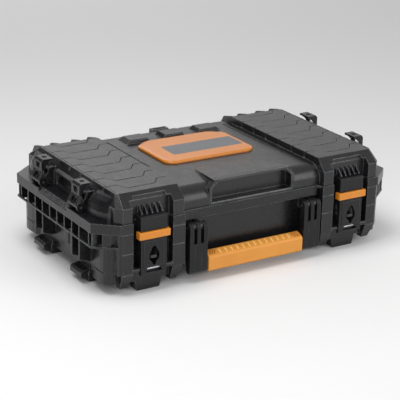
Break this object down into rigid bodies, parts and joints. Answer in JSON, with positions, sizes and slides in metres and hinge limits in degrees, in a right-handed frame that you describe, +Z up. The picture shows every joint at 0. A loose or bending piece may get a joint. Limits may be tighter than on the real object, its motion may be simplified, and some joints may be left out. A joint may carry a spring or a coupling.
{
  "type": "tool box",
  "caption": "Low black moulded tool box with hinged lid, front latches with orange pull bands, fold-out orange carry grip, side carrying flanges and stacking clips.",
  "frame": {"origin": "middle of the footprint on the plane that the feet stand on", "axes": "+Z up, +X along the length to the right seen from the front, front with latches and handle at -Y"},
  "size_m": [0.56, 0.342, 0.1644],
  "materials": {
    "base_plastic": "moulded black polypropylene, fine grain",
    "lid_plastic": "moulded black polypropylene, fine grain",
    "latch_plastic": "satin black",
    "handle_plastic": "satin black",
    "clip_plastic": "semi-gloss black",
    "accent_plastic": "satin orange",
    "inlay_plastic": "dark grey, bare",
    "grip_rubber": "orange soft-touch overmould",
    "seal_rubber": "black foam rubber",
    "pin_steel": "plain steel",
    "staple_steel": "black coated steel"
  },
  "bodies": {
    "base": {"base_shell": "base_plastic", "latch_pin_left": "pin_steel", "latch_pin_right": "pin_steel", "lock_staple_left": "staple_steel", "lock_staple_right": "staple_steel", "handle_pin_left": "pin_steel", "handle_pin_right": "pin_steel", "hinge_pin_left": "pin_steel", "hinge_pin_right": "pin_steel"},
    "lid": {"lid_shell": "lid_plastic", "lid_gasket": "seal_rubber", "badge_plate": "accent_plastic", "badge_inlay": "inlay_plastic", "clip_pins": "pin_steel"},
    "latch_left": {"latch_lever_left": "latch_plastic", "latch_band_left": "accent_plastic"},
    "latch_right": {"latch_lever_right": "latch_plastic", "latch_band_right": "accent_plastic"},
    "handle": {"handle_frame": "handle_plastic", "handle_grip": "grip_rubber"},
    "clip_left_rear": {"stack_clip_left_rear": "clip_plastic"},
    "clip_left_front": {"stack_clip_left_front": "clip_plastic"},
    "clip_right_rear": {"stack_clip_right_rear": "clip_plastic"},
    "clip_right_front": {"stack_clip_right_front": "clip_plastic"}
  },
  "joints": [
    {"name": "lid_hinge", "type": "hinge", "parent": "base", "child": "lid", "pos_m": [0, 0.163, 0.121], "axis": [-1, 0, 0], "range_deg": [0, 100]},
    {"name": "carry_handle", "type": "hinge", "parent": "base", "child": "handle", "pos_m": [0, -0.1605, 0.0925], "axis": [-1, 0, 0], "range_deg": [0, 105]},
    {"name": "latch_left", "type": "hinge", "parent": "base", "child": "latch_left", "pos_m": [-0.188, -0.161, 0.04], "axis": [1, 0, 0], "range_deg": [0, 100]},
    {"name": "latch_right", "type": "hinge", "parent": "base", "child": "latch_right", "pos_m": [0.188, -0.161, 0.04], "axis": [1, 0, 0], "range_deg": [0, 100]},
    {"name": "clip_left_rear", "type": "hinge", "parent": "lid", "child": "clip_left_rear", "pos_m": [-0.271, 0.0635, 0.1272], "axis": [0, -1, 0], "range_deg": [0, 90]},
    {"name": "clip_left_front", "type": "hinge", "parent": "lid", "child": "clip_left_front", "pos_m": [-0.271, -0.0698, 0.1272], "axis": [0, -1, 0], "range_deg": [0, 90]},
    {"name": "clip_right_rear", "type": "hinge", "parent": "lid", "child": "clip_right_rear", "pos_m": [0.271, 0.0635, 0.1272], "axis": [0, 1, 0], "range_deg": [0, 90]},
    {"name": "clip_right_front", "type": "hinge", "parent": "lid", "child": "clip_right_front", "pos_m": [0.271, -0.0698, 0.1272], "axis": [0, 1, 0], "range_deg": [0, 90]}
  ]
}
